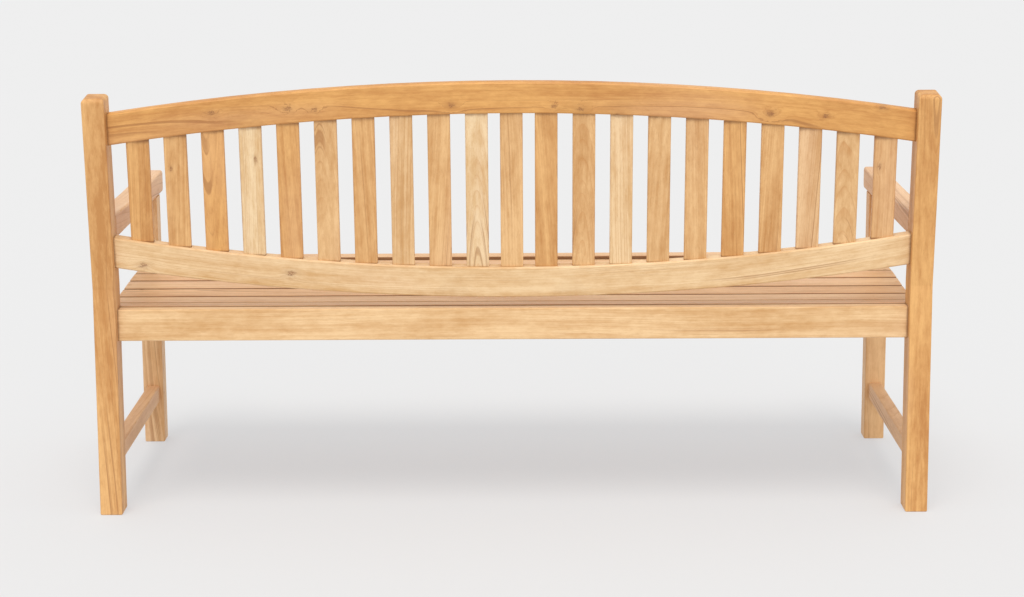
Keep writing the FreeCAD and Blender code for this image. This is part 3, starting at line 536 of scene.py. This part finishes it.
clothe("seat_plugs", ACROSS, BACKWARD, 0.20)
nodes["seat_screws"].material_slots[0].material = steel_material()
for node in ("top_rail", "lower_back_rail"):
    ease_edges(node)


# ---------------------------------------------------------------------------
# Floor and light
# ---------------------------------------------------------------------------
FLOOR_REACH = 45.0
FLOOR_CLOUDS = (1.5, 1.5, 1.5)
CLOUD_SHADE = 0.01

# As bright as the lit floor, so that no line shows where the floor ends
WORLD_STRENGTH = 0.863


def make_floor():
    """A pale studio floor, far larger than the view."""
    mesh = bpy.data.meshes.new("floor")
    corners = [(x * FLOOR_REACH, y * FLOOR_REACH, 0) for x, y in ((-1, -1), (1, -1), (1, 1), (-1, 1))]
    mesh.from_pydata(corners, [], [(0, 1, 2, 3)])
    floor = bpy.data.objects.new("floor", mesh)
    bpy.context.scene.collection.objects.link(floor)
    material = bpy.data.materials.new("pale_floor")
    material.use_nodes = True
    material.node_tree.nodes.clear()
    g = Graph(material.node_tree)
    cloud = g.noise(g.node("ShaderNodeTexCoord").outputs["Object"], FLOOR_CLOUDS, detail=3.0)
    paint = g.blend(cloud, rgba(mixed(FLOOR_PAINT, (0, 0, 0), CLOUD_SHADE)), rgba(FLOOR_PAINT))
    shader = g.node("ShaderNodeBsdfPrincipled", {
        "Base Color": paint, "Roughness": 0.9, "Specular IOR Level": 0.0,
        "Emission Color": rgba(FLOOR_GLOW), "Emission Strength": 1.0,
    })
    g.node("ShaderNodeOutputMaterial", {"Surface": shader.outputs["BSDF"]})
    mesh.materials.append(material)


def make_world(strength):
    """White light from all round, as in a light tent."""
    world = bpy.data.worlds.new("studio")
    bpy.context.scene.world = world
    world.use_nodes = True
    background = world.node_tree.nodes["Background"]
    background.inputs["Color"].default_value = rgba((1.0, 1.0, 1.0))
    background.inputs["Strength"].default_value = strength


def make_sun(name, azimuth, elevation, spread, strength):
    """A broad, distant white lamp.  Azimuth 0 stands behind the bench, and 90 at the sitter's left."""
    lamp = bpy.data.lights.new(name, "SUN")
    lamp.energy = strength
    lamp.angle = math.radians(spread)
    sun = bpy.data.objects.new(name, lamp)
    around = math.radians(azimuth)
    up = math.radians(elevation)
    towards = Vector((math.sin(around) * math.cos(up), math.cos(around) * math.cos(up), math.sin(up)))
    sun.rotation_euler = towards.to_track_quat("Z", "Y").to_euler()
    bpy.context.scene.collection.objects.link(sun)


make_floor()
make_world(WORLD_STRENGTH)
make_sun("key", azimuth=8, elevation=66, spread=34, strength=1.40)
make_sun("fill", azimuth=-12, elevation=12, spread=40, strength=0.60)


# ---------------------------------------------------------------------------
# Camera: behind the bench, a little above it, as fitted to the outline in the photograph
# ---------------------------------------------------------------------------
CAMERA_PLACE = Vector((-0.0216, 4.8037, 1.4708))
CAMERA_YAW = math.radians(-0.269)
CAMERA_PITCH = math.radians(10.003)
CAMERA_ROLL = 0.00565
LENS_MM = 75.48
LENS_RISE = 0.090
SENSOR_MM = 36.0
FAR_CLIP = 200.0


def make_camera():
    """Aim the camera by yaw and pitch, then turn it by the roll, which is a slope."""
    ahead = Vector((math.sin(-CAMERA_YAW), -math.cos(CAMERA_YAW), 0))
    right = Vector((-math.cos(CAMERA_YAW), -math.sin(-CAMERA_YAW), 0))
    forward = ahead * math.cos(CAMERA_PITCH) - UP * math.sin(CAMERA_PITCH)
    upward = ahead * math.sin(CAMERA_PITCH) + UP * math.cos(CAMERA_PITCH)
    rolled_right = (right - upward * CAMERA_ROLL).normalized()
    rolled_up = (upward + right * CAMERA_ROLL).normalized()
    data = bpy.data.cameras.new("camera")
    data.lens = LENS_MM
    data.sensor_width = SENSOR_MM
    data.shift_y = -LENS_RISE
    data.clip_end = FAR_CLIP
    camera = bpy.data.objects.new("camera", data)
    camera.matrix_world = Matrix((
        (rolled_right.x, rolled_up.x, -forward.x, CAMERA_PLACE.x),
        (rolled_right.y, rolled_up.y, -forward.y, CAMERA_PLACE.y),
        (rolled_right.z, rolled_up.z, -forward.z, CAMERA_PLACE.z),
        (0, 0, 0, 1),
    ))
    bpy.context.scene.collection.objects.link(camera)
    bpy.context.scene.camera = camera


make_camera()
view = bpy.context.scene.view_settings
view.view_transform = "Standard"
view.look = "None"
